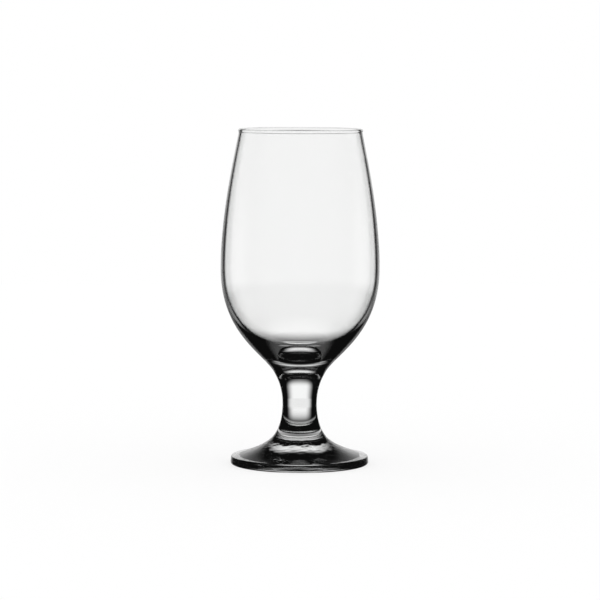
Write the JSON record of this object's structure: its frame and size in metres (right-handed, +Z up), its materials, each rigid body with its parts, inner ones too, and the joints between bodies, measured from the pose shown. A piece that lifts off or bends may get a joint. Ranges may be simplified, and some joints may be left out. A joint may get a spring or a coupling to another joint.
{
  "type": "pilsner glass",
  "caption": "Footed pilsner glass in clear glass: tall bowl drawn in to a beaded rim, heavy base, short waisted stem and flared disc foot.",
  "frame": {"origin": "middle of the ring that the foot stands on, at table level", "axes": "+Z up along the axis of the glass; the glass is round, so +X and +Y are alike"},
  "size_m": [0.0794, 0.0794, 0.168],
  "materials": {
    "blown_glass": "clear soda-lime glass, fire-polished",
    "pressed_glass": "clear soda-lime glass, pressed, with faint chill marks"
  },
  "bodies": {
    "root": {"bowl": "blown_glass", "stem": "pressed_glass", "foot": "pressed_glass"}
  },
  "joints": []
}
